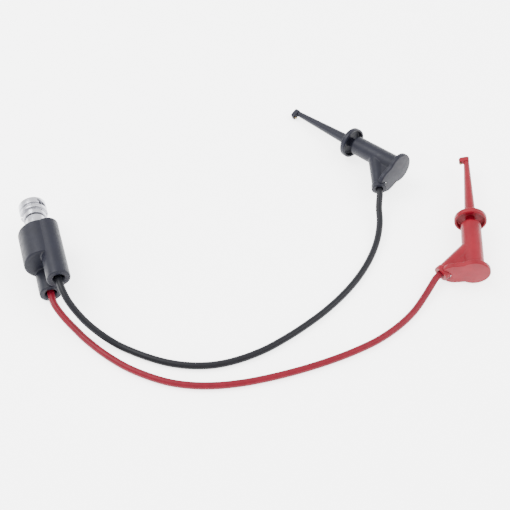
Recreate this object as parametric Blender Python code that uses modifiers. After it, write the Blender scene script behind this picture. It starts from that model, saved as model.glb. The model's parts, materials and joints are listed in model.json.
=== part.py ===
"""Breakout test lead: a BNC plug on a moulded housing, and a red and a black mini-hook clip on two leads.

Every sub-part is one object, in metres, with +Z up and the lead lying on z = 0.
The plug points along +Y. Each clip has a frame of its own: Z towards the hook, X towards the wire boot.
"""

import math

import bmesh
import bpy
from mathutils import Matrix, Vector

MM = 0.001
GAP = 0.3 * MM
SEGMENTS = 32
FINE_SEGMENTS = 20
CUT_SEGMENTS = 24

# Moulded housing, in its own frame: Z along the plug, X right, Y down
HOUSING_FRONT = 35.8 * MM
CORE_REAR = 13.7 * MM
CORE_RADIUS = 10.6 * MM
BLACK_TUBE_RADIUS = 6.0 * MM
RED_TUBE_RADIUS = 5.7 * MM
TUBE_FRONT = 35.5 * MM
BLACK_TUBE = Vector((5.0, -5.0, -2.2)) * MM
RED_TUBE = Vector((-0.6, 8.2, 0.3)) * MM
WIRE_BORE = 2.6 * MM
BORE_FRONT = 20.5 * MM
CAVITY_REAR = 16.5 * MM
CAVITY_FRONT = 25.5 * MM
CAVITY_RADIUS = 6.6 * MM
TAIL_FRONT = 17.0 * MM

# Plug, in the housing's frame
SHANK_REAR = 26.5 * MM
SHANK_RADIUS = 4.6 * MM
PLUG_BORE = 4.9 * MM
BARREL_RADIUS = 5.35 * MM
BARREL_FRONT = 45.0 * MM
NECK_RADIUS = 4.2 * MM
GROOVE_RADIUS = 3.85 * MM
CONTACT_RADIUS = 4.05 * MM
CONTACT_BORE = 3.3 * MM
CONTACT_FRONT = 54.6 * MM
NUT_RADIUS = 7.25 * MM
NUT_BORE = 5.1 * MM
SKIRT_RADIUS = 6.1 * MM
SKIRT_FRONT = 48.4 * MM
SLOT_START = math.radians(120)
NUT_REAR = 45.3 * MM
NUT_FRONT = 55.6 * MM
LIP_FRONT = 46.5 * MM
SLOT_WIDTH = 2.3 * MM
SLOT_TURN = math.radians(68)
WAVES = 3
WAVE_HEIGHT = 0.35 * MM

# Clip, in its own frame: Z = 0 on the thumb pad's front face
FLANGE_RADIUS = 8.6 * MM
FLANGE_REAR = 32.8 * MM
FLANGE_BAND = 2.0 * MM
SLEEVE_FRONT = 30.3 * MM
SLEEVE_RADIUS = 5.3 * MM
SLEEVE_REAR_RADIUS = 5.6 * MM
SPRING_BORE = 4.15 * MM
WIRE_ROOM = 3.6 * MM
SEAT_STEP = 14.8 * MM
STEM_BORE = 2.9 * MM
NOSE_TIP = 77.1 * MM
NOSE_BORE = 0.8 * MM
ROD_RADIUS = 0.5 * MM
ROD_REAR = 1.8 * MM
HOOK_REACH = 3.2 * MM
HOOK_TOP = 79.5 * MM
HOOK_POINT = 76.4 * MM
COVER_BOTTOM = 77.4 * MM
COVER_TOP = 80.8 * MM
PAD_RADIUS = 8.5 * MM
PAD_THICKNESS = 2.4 * MM
LOBE_RADIUS = 6.9 * MM
LOBE_REACH = 9.8 * MM
BOOT_ROOT = 15.6 * MM
BOOT_LENGTH = 24.0 * MM
BOOT_RADIUS = 3.7 * MM
BOOT_ROOT_RADIUS = 4.6 * MM
COLLAR_RADIUS = 4.2 * MM
COLLAR_LENGTH = 3.0 * MM
WEB_REACH = 9.5 * MM
WEB_HEIGHT = 7.0 * MM
WEB_HALF = 3.3 * MM
BOOT_BORE = 2.1 * MM
SPRING_REAR = 16.3 * MM
SPRING_FRONT = 24.9 * MM
SPRING_RADIUS = 2.6 * MM
SPRING_WIRE = 0.3 * MM
SPRING_TURNS = 5

# Leads
WIRE_RADIUS = 1.8 * MM
CONDUCTOR_RADIUS = 0.6 * MM
CORD_STEP = 6.0 * MM
STRAIGHT_RUN = 3.5 * MM

# Where things lie, in millimetres and degrees
HOUSING_PLACE = (-115.60, -19.75, 13.9)
RED_CLIP = {"name": "red", "flange": (106.45, -41.35), "heading": 22.4, "dip": -0.5, "roll": 13.0,
            "lift": 0.83}
BLACK_CLIP = {"name": "black", "flange": (68.45, 33.80), "heading": -25.9, "dip": 8.2, "roll": 17.0,
              "lift": 0.55}
BLACK_ROUTE = [
    (-110.6, -22.2, 18.9),
    (-110.3, -27.8, 18.6),
    (-108.8, -34.5, 16.6),
    (-106.2, -39.9, 13.5),
    (-103.1, -44.5, 10.1),
    (-99.5, -48.6, 7.0),
    (-95.7, -52.5, 4.5),
    (-91.6, -56.5, 2.7),
    (-87.0, -60.9, 1.9),
    (-78.2, -68.7, 1.9),
    (-68.5, -75.5, 1.9),
    (-57.7, -80.5, 1.9),
    (-46.5, -83.2, 1.9),
    (-34.8, -83.5, 1.9),
    (-22.5, -81.9, 1.9),
    (-10.6, -78.6, 1.9),
    (1.3, -74.3, 1.9),
    (13.8, -68.8, 1.9),
    (26.0, -62.0, 1.9),
    (37.8, -53.6, 1.9),
    (48.3, -43.8, 2.1),
    (56.3, -33.8, 3.0),
    (61.8, -23.8, 4.6),
    (65.0, -14.3, 6.3),
]
RED_ROUTE = [
    (-116.2, -19.7, 5.7),
    (-115.9, -25.3, 5.6),
    (-114.0, -31.3, 4.6),
    (-111.1, -37.4, 3.2),
    (-107.9, -43.4, 2.3),
    (-104.7, -49.5, 1.9),
    (-97.9, -60.4, 1.9),
    (-89.7, -70.8, 1.9),
    (-80.8, -79.2, 1.9),
    (-71.2, -86.2, 1.9),
    (-60.7, -91.3, 1.9),
    (-49.7, -94.7, 1.9),
    (-38.3, -96.8, 1.9),
    (-27.2, -97.8, 1.9),
    (-15.1, -98.2, 1.9),
    (-3.4, -98.0, 1.9),
    (8.9, -97.2, 1.9),
    (20.8, -95.7, 1.9),
    (33.3, -93.1, 1.9),
    (45.8, -88.5, 1.9),
    (56.8, -82.5, 2.1),
    (66.3, -75.2, 3.0),
]


def new_collection(name, helper=False):
    made = bpy.data.collections.new(name)
    bpy.context.scene.collection.children.link(made)
    made.hide_render = helper
    return made


def clear_scene():
    for obj in list(bpy.data.objects):
        bpy.data.objects.remove(obj)
    for found in list(bpy.data.collections):
        bpy.data.collections.remove(found)


def new_material(name, color, roughness, metallic=0.0):
    made = bpy.data.materials.new(name)
    made.use_nodes = True
    shader = made.node_tree.nodes["Principled BSDF"]
    shader.inputs["Base Color"].default_value = (*color, 1.0)
    shader.inputs["Roughness"].default_value = roughness
    shader.inputs["Metallic"].default_value = metallic
    return made


clear_scene()
PARTS = new_collection("breakout_test_lead")
CUTTERS = new_collection("cutters", helper=True)
BLACK_PLASTIC = new_material("black_plastic", (0.035, 0.036, 0.042), 0.45)
RED_PLASTIC = new_material("red_plastic", (0.62, 0.03, 0.045), 0.42)
BLACK_SILICONE = new_material("black_lead_jacket", (0.04, 0.04, 0.046), 0.5)
RED_SILICONE = new_material("red_lead_jacket", (0.5, 0.03, 0.05), 0.5)
NICKEL = new_material("nickel_plate", (0.78, 0.77, 0.75), 0.22, 1.0)
GOLD = new_material("gold_plate", (0.83, 0.62, 0.28), 0.25, 1.0)
SPRING_STEEL = new_material("spring_steel", (0.6, 0.6, 0.6), 0.3, 1.0)
COPPER = new_material("tinned_copper", (0.75, 0.62, 0.52), 0.35, 1.0)
WHITE_PTFE = new_material("white_ptfe", (0.85, 0.85, 0.83), 0.4)
GREY_SILICONE = new_material("grey_silicone", (0.35, 0.36, 0.38), 0.6)
SHRINK_SLEEVE = new_material("shrink_sleeve", (0.03, 0.03, 0.03), 0.55)
PLASTICS = {"red": RED_PLASTIC, "black": BLACK_PLASTIC}
JACKETS = {"red": RED_SILICONE, "black": BLACK_SILICONE}


def add_object(name, data, parent, material=None, place=(0, 0, 0)):
    """Links an object as a part, or as a hidden helper when it has no material."""
    obj = bpy.data.objects.new(name, data)
    if material:
        PARTS.objects.link(obj)
        data.materials.append(material)
    else:
        CUTTERS.objects.link(obj)
        obj.hide_render = True
        obj.display_type = "WIRE"
    obj.parent = parent
    obj.location = place
    return obj


def smooth_shading(mesh):
    mesh.shade_smooth()
    mesh.set_sharp_from_angle(angle=math.radians(35))


def turned(name, profile, parent, material=None, place=(0, 0, 0), segments=SEGMENTS, ring=False):
    """A turned shape from (radius, height) in mm, down the outer side, and up the bore for a ring."""
    bm = bmesh.new()
    verts = [bm.verts.new((radius * MM, 0, height * MM)) for radius, height in profile]
    for first, second in zip(verts, verts[1:]):
        bm.edges.new((first, second))
    if ring:
        bm.edges.new((verts[-1], verts[0]))
    mesh = bpy.data.meshes.new(name)
    bm.to_mesh(mesh)
    bm.free()
    obj = add_object(name, mesh, parent, material, place)
    screw = obj.modifiers.new("turn", "SCREW")
    screw.steps = segments
    screw.render_steps = segments
    screw.use_merge_vertices = True
    screw.merge_threshold = 0.00001
    return obj


def rod_profile(radius, low, high, edge=0.0):
    """A solid round bar's profile in millimetres, with its edges cut back."""
    inner = radius - edge
    if not edge:
        return [(0, high), (radius, high), (radius, low), (0, low)]
    return [(0, high), (inner, high), (radius, high - edge), (radius, low + edge), (inner, low), (0, low)]


def tube_profile(outer, inner, low, high, edge=0.0):
    """A plain bush's profile in millimetres."""
    if not edge:
        return [(outer, high), (outer, low), (inner, low), (inner, high)]
    return [
        (outer - edge, high),
        (outer, high - edge),
        (outer, low + edge),
        (outer - edge, low),
        (inner, low),
        (inner, high),
    ]


def mm(*values):
    return tuple(value / MM for value in values)


def cone_between(name, start, end, start_radius, end_radius, parent, material=None, segments=CUT_SEGMENTS):
    """A round bar from one point to another in the parent's frame."""
    axis = end - start
    bm = bmesh.new()
    bmesh.ops.create_cone(
        bm,
        cap_ends=True,
        segments=segments,
        radius1=start_radius,
        radius2=end_radius,
        depth=axis.length,
    )
    turn = axis.to_track_quat("Z", "Y").to_matrix().to_4x4()
    bmesh.ops.transform(bm, matrix=Matrix.Translation((start + end) / 2) @ turn, verts=bm.verts)
    mesh = bpy.data.meshes.new(name)
    bm.to_mesh(mesh)
    bm.free()
    return add_object(name, mesh, parent, material)


def block(name, low, high, parent, material=None):
    bm = bmesh.new()
    bmesh.ops.create_cube(bm, size=1.0)
    size = high - low
    for vert in bm.verts:
        vert.co = low + Vector((vert.co[i] + 0.5) * size[i] for i in range(3))
    mesh = bpy.data.meshes.new(name)
    bm.to_mesh(mesh)
    bm.free()
    return add_object(name, mesh, parent, material)


def boolean(obj, other, operation="DIFFERENCE"):
    modifier = obj.modifiers.new(other.name, "BOOLEAN")
    modifier.operation = operation
    modifier.solver = "EXACT"
    modifier.object = other


def wire(name, points, radius, parent, material, resolution=2):
    """A round wire along the points, as a curve with closed ends."""
    curve = bpy.data.curves.new(name, "CURVE")
    curve.dimensions = "3D"
    curve.bevel_depth = radius
    curve.bevel_resolution = resolution
    curve.use_fill_caps = True
    spline = curve.splines.new("POLY")
    spline.points.add(len(points) - 1)
    for slot, point in zip(spline.points, points):
        slot.co = (*point, 1.0)
    return add_object(name, curve, parent, material)


def wire_cutter(name, points, radius, parent):
    """The same wire as a closed mesh that can cut."""
    source = wire(name + "_path", points, radius, parent, None)
    bpy.context.view_layer.update()
    evaluated = source.evaluated_get(bpy.context.evaluated_depsgraph_get())
    mesh = bpy.data.meshes.new_from_object(evaluated)
    bm = bmesh.new()
    bm.from_mesh(mesh)
    bmesh.ops.remove_doubles(bm, verts=bm.verts, dist=0.000001)
    bmesh.ops.recalc_face_normals(bm, faces=bm.faces)
    bm.to_mesh(mesh)
    bm.free()
    bpy.data.objects.remove(source)
    return add_object(name, mesh, parent)


def smooth_path(points, step):
    """Points about a step apart on a smooth curve through the route's own points."""
    route = [2 * points[0] - points[1], *points, 2 * points[-1] - points[-2]]
    path = [points[0]]
    for before, start, end, after in zip(route, route[1:], route[2:], route[3:]):
        pieces = max(1, round((end - start).length / step))
        for i in range(1, pieces + 1):
            t = i / pieces
            path.append(
                0.5
                * (
                    2 * start
                    + (end - before) * t
                    + (2 * before - 5 * start + 4 * end - after) * t**2
                    + (3 * start - before - 3 * end + after) * t**3
                )
            )
    return path


def empty(name, matrix):
    obj = bpy.data.objects.new(name, None)
    PARTS.objects.link(obj)
    obj.matrix_world = matrix
    return obj


# ---------------------------------------------------------------- housing and plug


def tube_body(name, place, radius, parent):
    high = (TUBE_FRONT - place.z) / MM
    tube = turned(name, rod_profile(radius / MM, 0, high, edge=0.5), parent, None, place)
    return tube


def connector_housing(parent):
    """The moulded core round the plug's shank, with a tube on it for each lead."""
    front, rear, radius = mm(HOUSING_FRONT, CORE_REAR, CORE_RADIUS)
    profile = [
        (0, front),
        (radius - 0.9, front),
        (radius - 0.25, front - 0.25),
        (radius, front - 0.9),
        (radius, rear + 0.7),
        (radius - 0.2, rear + 0.2),
        (radius - 0.7, rear),
        (0, rear),
    ]
    housing = turned("connector_housing", profile, parent, BLACK_PLASTIC, segments=40)
    boolean(housing, tube_body("black_tube", BLACK_TUBE, BLACK_TUBE_RADIUS, parent), "UNION")
    boolean(housing, tube_body("red_tube", RED_TUBE, RED_TUBE_RADIUS, parent), "UNION")
    bores = [
        turned("plug_bore", rod_profile(*mm(PLUG_BORE, CAVITY_REAR + 3 * MM, HOUSING_FRONT + MM)), parent),
        turned("cavity", rod_profile(*mm(CAVITY_RADIUS, CAVITY_REAR, CAVITY_FRONT)), parent),
    ]
    for name, place in (("black_wire_bore", BLACK_TUBE), ("red_wire_bore", RED_TUBE)):
        length = (BORE_FRONT - place.z) / MM
        bore, mouth = mm(WIRE_BORE, WIRE_BORE + 0.9 * MM)
        profile = [(0, length), (bore, length), (bore, 1.2), (mouth, -0.1), (mouth, -1), (0, -1)]
        bores.append(turned(name, profile, parent, None, place, CUT_SEGMENTS))
    for cutter in bores:
        boolean(housing, cutter)
    return housing


def bnc_body(parent):
    """Shank, barrel, neck and slit outer contact in one piece."""
    shank, barrel, neck, groove = mm(SHANK_RADIUS, BARREL_RADIUS, NECK_RADIUS, GROOVE_RADIUS)
    contact, bore, rear = mm(CONTACT_RADIUS, CONTACT_BORE, SHANK_REAR)
    barrel_rear, barrel_front, front = mm(HOUSING_FRONT + GAP, BARREL_FRONT, CONTACT_FRONT)
    profile = [
        (contact - 0.25, front),
        (contact, front - 0.3),
        (contact, 49.2),
        (neck, 49.0),
        (neck, 48.9),
        (groove, 48.9),
        (groove, 47.9),
        (neck, 47.9),
        (neck, barrel_front),
        (barrel - 0.2, barrel_front),
        (barrel, barrel_front - 0.2),
        (barrel, barrel_rear),
        (shank, barrel_rear),
        (shank, rear),
        (2.4, rear),
        (2.4, 44.0),
        (bore, 44.0),
        (bore, front),
    ]
    body = turned("bnc_body", profile, parent, NICKEL, ring=True)
    for i in range(2):
        slit = block(f"contact_slit_{i}", Vector((-6, -0.2, 50.9)) * MM, Vector((6, 0.2, 56)) * MM, parent)
        slit.rotation_euler.z = math.radians(45 + 90 * i)
        boolean(body, slit)
    return body


def bnc_dielectric(parent):
    profile = [(2.3, 52.4), (2.3, 49.7), (3.1, 49.5), (3.1, 44.3), (0.95, 44.3), (0.95, 52.4)]
    return turned("bnc_dielectric", profile, parent, WHITE_PTFE, segments=FINE_SEGMENTS, ring=True)


def bnc_rear_insulator(parent):
    profile = tube_profile(2.2, 1.4, 33.5, 43.3)
    return turned("bnc_rear_insulator", profile, parent, WHITE_PTFE, segments=FINE_SEGMENTS, ring=True)


def bnc_centre_pin(parent):
    profile = [
        (0, 53.9),
        (0.35, 53.7),
        (0.66, 53.0),
        (0.66, 43.9),
        (1.2, 43.6),
        (1.2, 31.0),
        (0.85, 31.0),
        (0.85, 35.0),
        (0, 35.2),
    ]
    return turned("bnc_centre_pin", profile, parent, GOLD, segments=FINE_SEGMENTS)


def bnc_gasket(parent):
    profile = tube_profile(4.9, 4.25, 49.3, 50.5, edge=0.15)
    return turned("bnc_gasket", profile, parent, GREY_SILICONE, ring=True)


def bnc_retaining_ring(parent):
    """A C ring in the neck's groove."""
    ring = turned("bnc_retaining_ring", tube_profile(4.85, 4.0, 48.1, 48.7), parent, SPRING_STEEL, ring=True)
    boolean(ring, block("ring_gap", Vector((3, -0.6, 47)) * MM, Vector((6, 0.6, 50)) * MM, parent))
    return ring


def bnc_wave_washer(parent):
    """A ring whose faces rise and fall three times a turn."""
    bm = bmesh.new()
    inner, outer = 4.4 * MM, 4.9 * MM
    middle, half = 47.3 * MM, 0.12 * MM
    steps = 36
    loops = []
    for i in range(steps):
        angle = 2 * math.pi * i / steps
        rise = middle + WAVE_HEIGHT * math.sin(WAVES * angle)
        corners = ((inner, rise - half), (outer, rise - half), (outer, rise + half), (inner, rise + half))
        loops.append([bm.verts.new((r * math.cos(angle), r * math.sin(angle), z)) for r, z in corners])
    for i in range(steps):
        here, there = loops[i], loops[(i + 1) % steps]
        for k in range(4):
            bm.faces.new((here[k], here[(k + 1) % 4], there[(k + 1) % 4], there[k]))
    bmesh.ops.recalc_face_normals(bm, faces=bm.faces)
    mesh = bpy.data.meshes.new("bnc_wave_washer")
    bm.to_mesh(mesh)
    bm.free()
    return add_object("bnc_wave_washer", mesh, parent, SPRING_STEEL)


def swept_slot(name, stations, inner, outer, half_width, parent):
    """A slot cutter of rectangular section through (angle, height) stations round the Z axis."""
    bm = bmesh.new()
    rings = []
    for angle, height in stations:
        out = Vector((math.cos(angle), math.sin(angle), 0))
        corners = (
            out * inner + Vector((0, 0, height - half_width)),
            out * outer + Vector((0, 0, height - half_width)),
            out * outer + Vector((0, 0, height + half_width)),
            out * inner + Vector((0, 0, height + half_width)),
        )
        rings.append([bm.verts.new(corner) for corner in corners])
    for here, there in zip(rings, rings[1:]):
        for k in range(4):
            bm.faces.new((here[k], here[(k + 1) % 4], there[(k + 1) % 4], there[k]))
    bm.faces.new(reversed(rings[0]))
    bm.faces.new(rings[-1])
    bmesh.ops.recalc_face_normals(bm, faces=bm.faces)
    mesh = bpy.data.meshes.new(name)
    bm.to_mesh(mesh)
    bm.free()
    return add_object(name, mesh, parent)


def bnc_coupling_nut(parent):
    """The bayonet nut: a rear lip behind the wave washer, a slim skirt, a grip groove and two ramp slots."""
    radius, bore, rear, front, lip = mm(NUT_RADIUS, NUT_BORE, NUT_REAR, NUT_FRONT, LIP_FRONT)
    skirt, step = mm(SKIRT_RADIUS, SKIRT_FRONT)
    profile = [
        (radius - 0.5, front),
        (radius, front - 0.4),
        (radius, 52.0),
        (radius - 0.8, 51.7),
        (radius - 0.8, 50.6),
        (radius, 50.3),
        (radius, step + 0.3),
        (radius - 0.3, step),
        (skirt, step),
        (skirt, rear + 0.3),
        (skirt - 0.3, rear),
        (4.5, rear),
        (4.5, lip),
        (bore, lip),
        (bore, front - 0.3),
        (bore + 0.3, front),
    ]
    nut = turned("bnc_coupling_nut", profile, parent, NICKEL, segments=40, ring=True)
    entry_half = math.asin(SLOT_WIDTH / 2 / NUT_BORE)
    for side in range(2):
        start = math.pi * side + SLOT_START
        entry = [(start + entry_half * k / 2, 54.2 * MM) for k in (-2, -1, 0, 1, 2)]
        ramp = [(start + SLOT_TURN * k / 6, (53.2 - 4.0 * k / 6) * MM) for k in range(7)]
        boolean(nut, swept_slot(f"slot_entry_{side}", entry, 4.6 * MM, 6.1 * MM, 2.2 * MM, parent))
        boolean(nut, swept_slot(f"slot_ramp_{side}", ramp, 4.6 * MM, 8.0 * MM, SLOT_WIDTH / 2, parent))
    return nut


def ground_lug(parent):
    """A washer behind the shank with a solder tab towards the black lead."""
    lug = turned("ground_lug", tube_profile(4.6, 2.1, 25.5, 26.2), parent, COPPER, segments=24, ring=True)
    tab = block("lug_tab", Vector((3.4, -1.2, 22.8)) * MM, Vector((4.2, 1.2, 25.8)) * MM, parent)
    tab.rotation_euler.z = math.atan2(BLACK_TUBE.y, BLACK_TUBE.x)
    boolean(lug, tab, "UNION")
    return lug


def lead_tail(color, place, parent):
    """The jacketed end of a lead inside its tube, in a shrink sleeve."""
    mouth, front = mm(place.z, TAIL_FRONT)
    tail = turned(
        f"{color}_lead_tail",
        rod_profile(WIRE_RADIUS / MM, 0, front - mouth),
        parent,
        JACKETS[color],
        place,
        FINE_SEGMENTS,
    )
    sleeve = turned(
        f"{color}_shrink_sleeve",
        tube_profile(2.35, 1.95, 5.5, 14.0),
        parent,
        SHRINK_SLEEVE,
        place,
        FINE_SEGMENTS,
        ring=True,
    )
    return tail, sleeve


def inner_conductors(parent):
    """The bare ends: red to the centre pin's solder cup, black to the ground lug's tab."""
    red = [
        Vector((RED_TUBE.x / MM, RED_TUBE.y / MM, 17.3)),
        Vector((-0.5, 7.2, 19.0)),
        Vector((-0.2, 3.2, 22.0)),
        Vector((0, 0.7, 24.8)),
        Vector((0, 0, 27.0)),
        Vector((0, 0, 34.5)),
    ]
    black = [
        Vector((BLACK_TUBE.x / MM, BLACK_TUBE.y / MM, 17.3)),
        Vector((5.0, -4.4, 18.6)),
        Vector((3.75, -3.32, 21.4)),
        Vector((3.75, -3.32, 24.6)),
    ]
    wire("red_inner_conductor", [p * MM for p in red], CONDUCTOR_RADIUS, parent, COPPER)
    wire("black_inner_conductor", [p * MM for p in black], CONDUCTOR_RADIUS, parent, COPPER)


def build_connector():
    along_y = Matrix.Rotation(math.radians(-90), 4, "X")
    frame = empty("connector_frame", Matrix.Translation(Vector(HOUSING_PLACE) * MM) @ along_y)
    connector_housing(frame)
    bnc_body(frame)
    bnc_dielectric(frame)
    bnc_rear_insulator(frame)
    bnc_centre_pin(frame)
    bnc_gasket(frame)
    bnc_retaining_ring(frame)
    bnc_wave_washer(frame)
    bnc_coupling_nut(frame)
    ground_lug(frame)
    lead_tail("black", BLACK_TUBE, frame)
    lead_tail("red", RED_TUBE, frame)
    inner_conductors(frame)


# ---------------------------------------------------------------- clips


def clip_matrix(clip):
    """The clip's frame: flange just above the floor, dipped towards the hook, rolled to the boot's side."""
    heading, dip, roll = (math.radians(clip[key]) for key in ("heading", "dip", "roll"))
    forward = Vector(
        (math.sin(heading) * math.cos(dip), math.cos(heading) * math.cos(dip), -math.sin(dip))
    )
    left = Vector((-math.cos(heading), math.sin(heading), 0))
    up = forward.cross(left)
    branch = math.cos(roll) * left - math.sin(roll) * up
    across = forward.cross(branch)
    x, y = clip["flange"]
    height = FLANGE_RADIUS * math.cos(dip) + FLANGE_BAND * max(0.0, math.sin(dip)) + clip["lift"] * MM
    flange = Vector((x * MM, y * MM, height))
    origin = flange - forward * FLANGE_REAR
    return Matrix.Translation(origin) @ Matrix((branch, across, forward)).transposed().to_4x4()


def boot_point(distance):
    """A point on the boot's axis, which leaves the sleeve at 45 degrees."""
    step = distance / math.sqrt(2)
    return Vector((step, 0, BOOT_ROOT - step))


def clip_sleeve(clip, parent, material):
    """The barrel that the fingers hold, with the wire's boot branching from it."""
    rear, front = mm(0.5 * MM, SLEEVE_FRONT)
    wide, narrow = mm(SLEEVE_REAR_RADIUS, SLEEVE_RADIUS)
    profile = [
        (0, front),
        (narrow - 0.4, front),
        (narrow, front - 0.4),
        (wide, rear + 0.3),
        (wide - 0.3, rear),
        (0, rear),
    ]
    name = clip["name"]
    sleeve = turned(f"{name}_clip_sleeve", profile, parent, material)
    boot_end = boot_point(BOOT_LENGTH)
    cone_end = boot_point(BOOT_LENGTH - 0.5 * MM)
    collar_start = boot_point(BOOT_LENGTH - COLLAR_LENGTH)
    web_low = Vector((2 * MM, -WEB_HALF, 0.5 * MM))
    web_high = Vector((WEB_REACH, WEB_HALF, WEB_HEIGHT))
    joined = [
        cone_between(f"{name}_boot", boot_point(0), cone_end, BOOT_ROOT_RADIUS, BOOT_RADIUS, parent),
        cone_between(f"{name}_collar", collar_start, boot_end, COLLAR_RADIUS, COLLAR_RADIUS, parent),
        block(f"{name}_web", web_low, web_high, parent),
    ]
    for piece in joined:
        boolean(sleeve, piece, "UNION")
    room, bore, stem, step = mm(WIRE_ROOM, SPRING_BORE, STEM_BORE, SEAT_STEP)
    inside = [
        (0, front + 1),
        (stem, front + 1),
        (stem, 28.8),
        (bore, 28.8),
        (bore, step),
        (room, step),
        (room, -1),
        (0, -1),
    ]
    boolean(sleeve, turned(f"{name}_sleeve_bore", inside, parent, None, segments=CUT_SEGMENTS))
    wire_way = cone_between(
        f"{name}_boot_bore",
        boot_point(2.5 * MM),
        boot_point(BOOT_LENGTH + 2 * MM),
        BOOT_BORE,
        BOOT_BORE,
        parent,
        segments=20,
    )
    boolean(sleeve, wire_way)
    return sleeve


def thumb_pad(clip, parent, material):
    """A keyhole plate behind the sleeve, with a spigot in it and a notch where the boot passes."""
    name = clip["name"]
    thick, spigot = mm(PAD_THICKNESS, WIRE_ROOM - GAP)
    pad = turned(
        f"{name}_thumb_pad", rod_profile(PAD_RADIUS / MM, -thick, 0, edge=0.4), parent, material, segments=40
    )
    reach = LOBE_REACH / MM
    lobe = turned(
        f"{name}_lobe",
        rod_profile(LOBE_RADIUS / MM, -thick, -0.05, edge=0.4),
        parent,
        None,
        (LOBE_REACH, 0, 0),
    )
    neck_low = Vector((reach * 0.35, -LOBE_RADIUS / MM, -thick + 0.05)) * MM
    neck_high = Vector((reach, LOBE_RADIUS / MM, -0.1)) * MM
    neck = block(f"{name}_pad_neck", neck_low, neck_high, parent)
    post = turned(f"{name}_spigot", rod_profile(spigot, -1, 4.2), parent, None, segments=CUT_SEGMENTS)
    for piece in (neck, lobe, post):
        boolean(pad, piece, "UNION")
    notch = cone_between(
        f"{name}_boot_notch",
        boot_point(BOOT_LENGTH - 12 * MM),
        boot_point(BOOT_LENGTH + 12 * MM),
        COLLAR_RADIUS + GAP,
        COLLAR_RADIUS + GAP,
        parent,
    )
    boolean(pad, notch)
    socket = turned(f"{name}_rod_socket", rod_profile(0.8, 1.5, 5), parent, None, segments=16)
    boolean(pad, socket)
    return pad


def hook_path():
    """The contact rod's line, with its end turned out and back."""
    corner = 0.7 * MM
    bend = [math.radians(angle) for angle in (0, 30, 60, 90)]
    path = [Vector((0, 0, ROD_REAR)), Vector((0, 0, HOOK_TOP - corner))]
    for angle in bend[1:]:
        path.append(
            Vector((corner * (1 - math.cos(angle)), 0, HOOK_TOP - corner + corner * math.sin(angle)))
        )
    for angle in bend:
        path.append(
            Vector(
                (
                    HOOK_REACH - corner + corner * math.sin(angle),
                    0,
                    HOOK_TOP - corner + corner * math.cos(angle),
                )
            )
        )
    path.append(Vector((HOOK_REACH, 0, HOOK_POINT)))
    return path


def contact_rod(clip, parent):
    return wire(f"{clip['name']}_contact_rod", hook_path(), ROD_RADIUS, parent, GOLD)


def hook_cover(clip, parent, material):
    """The moulded block over the hook's bend, open on the nose's side."""
    name = clip["name"]
    bottom, top, reach = mm(COVER_BOTTOM, COVER_TOP, HOOK_REACH)
    outline = [
        (-1.55, bottom),
        (reach + 0.9, bottom + 0.3),
        (reach + 0.9, top - 1.2),
        (reach + 0.2, top - 0.3),
        (0.8, top),
        (-1.1, top),
        (-1.55, top - 0.5),
    ]
    half = 1.5 * MM
    bm = bmesh.new()
    near = [bm.verts.new((x * MM, -half, z * MM)) for x, z in outline]
    face = bm.faces.new(near)
    swept = bmesh.ops.extrude_face_region(bm, geom=[face])
    moved = [item for item in swept["geom"] if isinstance(item, bmesh.types.BMVert)]
    bmesh.ops.translate(bm, verts=moved, vec=(0, 2 * half, 0))
    bmesh.ops.recalc_face_normals(bm, faces=bm.faces)
    mesh = bpy.data.meshes.new(f"{name}_hook_cover")
    bm.to_mesh(mesh)
    bm.free()
    cover = add_object(f"{name}_hook_cover", mesh, parent, material)
    edges = cover.modifiers.new("edges", "BEVEL")
    edges.width = 0.3 * MM
    edges.segments = 2
    edges.limit_method = "ANGLE"
    way = [Vector((0, 0, HOOK_TOP - 6 * MM)), *hook_path()[1:]]
    boolean(cover, wire_cutter(f"{name}_hook_way", way, ROD_RADIUS + 0.15 * MM, parent))
    return cover


def clip_nose(clip, parent, material):
    """The tapered nose, with the cup flange that the fingers pull and a shouldered stem inside the sleeve."""
    flange, rim, tip, bore = mm(FLANGE_RADIUS, FLANGE_REAR, NOSE_TIP, NOSE_BORE)
    profile = [
        (1.4, tip),
        (1.55, tip - 0.3),
        (3.0, rim + 4.2),
        (3.5, rim + 3.75),
        (6.9, rim + 3.6),
        (7.9, rim + 3.1),
        (flange, rim + FLANGE_BAND / MM),
        (flange, rim + 0.2),
        (flange - 0.2, rim),
        (flange - 1.1, rim),
        (flange - 1.2, rim + 2.0),
        (flange - 1.8, rim + 2.7),
        (2.6, rim + 2.8),
        (2.6, 28.3),
        (3.85, 28.3),
        (3.85, 25.2),
        (bore, 25.2),
    ]
    return turned(f"{clip['name']}_clip_nose", profile, parent, material, ring=True)


def return_spring(clip, parent):
    points = []
    steps = 12 * SPRING_TURNS
    length = SPRING_FRONT - SPRING_REAR - 2 * SPRING_WIRE
    for i in range(steps + 1):
        angle = 2 * math.pi * i / 12
        height = SPRING_REAR + SPRING_WIRE + length * i / steps
        points.append(Vector((SPRING_RADIUS * math.cos(angle), SPRING_RADIUS * math.sin(angle), height)))
    return wire(f"{clip['name']}_return_spring", points, SPRING_WIRE, parent, SPRING_STEEL, 1)


def spring_seat(clip, parent):
    step = SEAT_STEP / MM
    return turned(
        f"{clip['name']}_spring_seat",
        tube_profile(3.95, 0.8, step + 0.2, step + 1.1),
        parent,
        SPRING_STEEL,
        segments=24,
        ring=True,
    )


def rod_terminal(clip, parent):
    return turned(
        f"{clip['name']}_rod_terminal",
        tube_profile(1.3, 0.6, 6.2, 10.0, edge=0.2),
        parent,
        COPPER,
        segments=16,
        ring=True,
    )


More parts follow.
